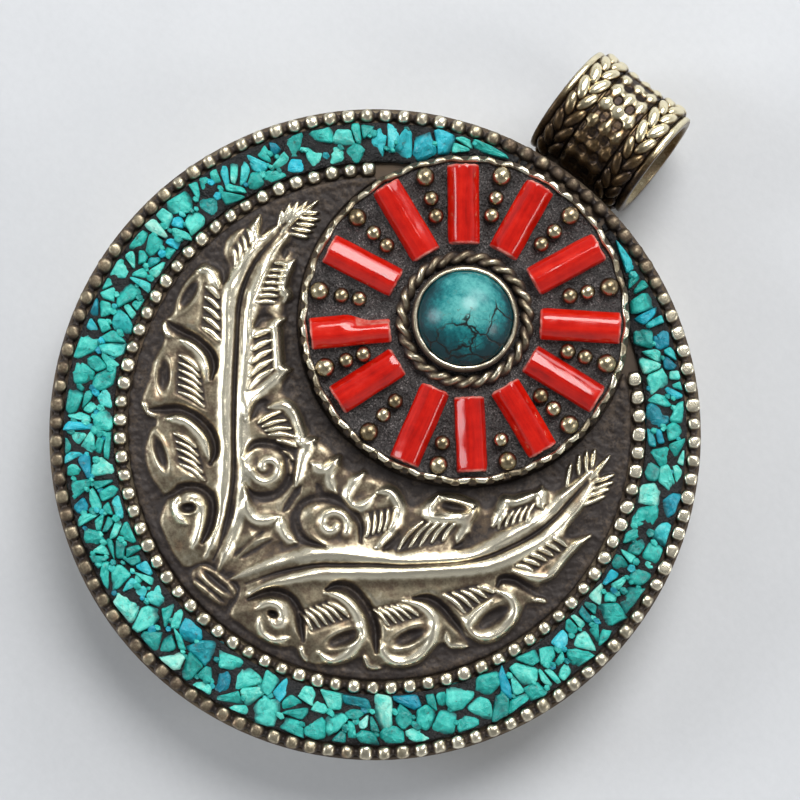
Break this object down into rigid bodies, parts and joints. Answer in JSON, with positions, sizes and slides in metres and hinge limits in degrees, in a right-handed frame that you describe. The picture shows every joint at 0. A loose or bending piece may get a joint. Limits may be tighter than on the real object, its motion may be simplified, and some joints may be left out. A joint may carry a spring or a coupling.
{
  "type": "ghau amulet box pendant",
  "caption": "Round Himalayan amulet box worn as a pendant: push-fit back lid, leaf-embossed face, turquoise mosaic ring, coral-rayed boss, ornate bail",
  "frame": {"origin": "middle of the lid's outer back face, on the surface the box lies on", "axes": "+Z out of the decorated face, +Y from the middle of the disc to the bail, +X to the right seen from the front"},
  "size_m": [0.065, 0.0779, 0.0174],
  "materials": {
    "aged_white_metal": "aged white metal over brass, dark patina in the recesses",
    "black_resin": "granular dark setting resin",
    "turquoise": "crushed turquoise chips, satin",
    "veined_turquoise": "polished turquoise cabochon with dark veins",
    "coral": "polished red coral"
  },
  "bodies": {
    "lid": {"back_plate": "aged_white_metal", "lid_collar": "aged_white_metal"},
    "case": {"case_wall": "aged_white_metal", "front_plate": "aged_white_metal", "leaf_panel": "aged_white_metal", "outer_bead_wire": "aged_white_metal", "inner_bead_wire": "aged_white_metal", "boss_gallery": "aged_white_metal", "shot_beads": "aged_white_metal", "rope_ring": "aged_white_metal", "stone_bezel": "aged_white_metal", "bail_band": "aged_white_metal", "bail_foot": "aged_white_metal", "bail_plait_left": "aged_white_metal", "bail_plait_right": "aged_white_metal", "bail_grain": "aged_white_metal", "mosaic_bed": "black_resin", "boss_bed": "black_resin", "turquoise_chips": "turquoise", "middle_stone": "veined_turquoise", "coral_rod_01": "coral", "coral_rod_02": "coral", "coral_rod_03": "coral", "coral_rod_04": "coral", "coral_rod_05": "coral", "coral_rod_06": "coral", "coral_rod_07": "coral", "coral_rod_08": "coral", "coral_rod_09": "coral", "coral_rod_10": "coral", "coral_rod_11": "coral", "coral_rod_12": "coral"}
  },
  "joints": [
    {"name": "case_lift", "type": "slide", "parent": "lid", "child": "case", "axis": [0, 0, 1], "range_m": [0, 0.025]}
  ]
}
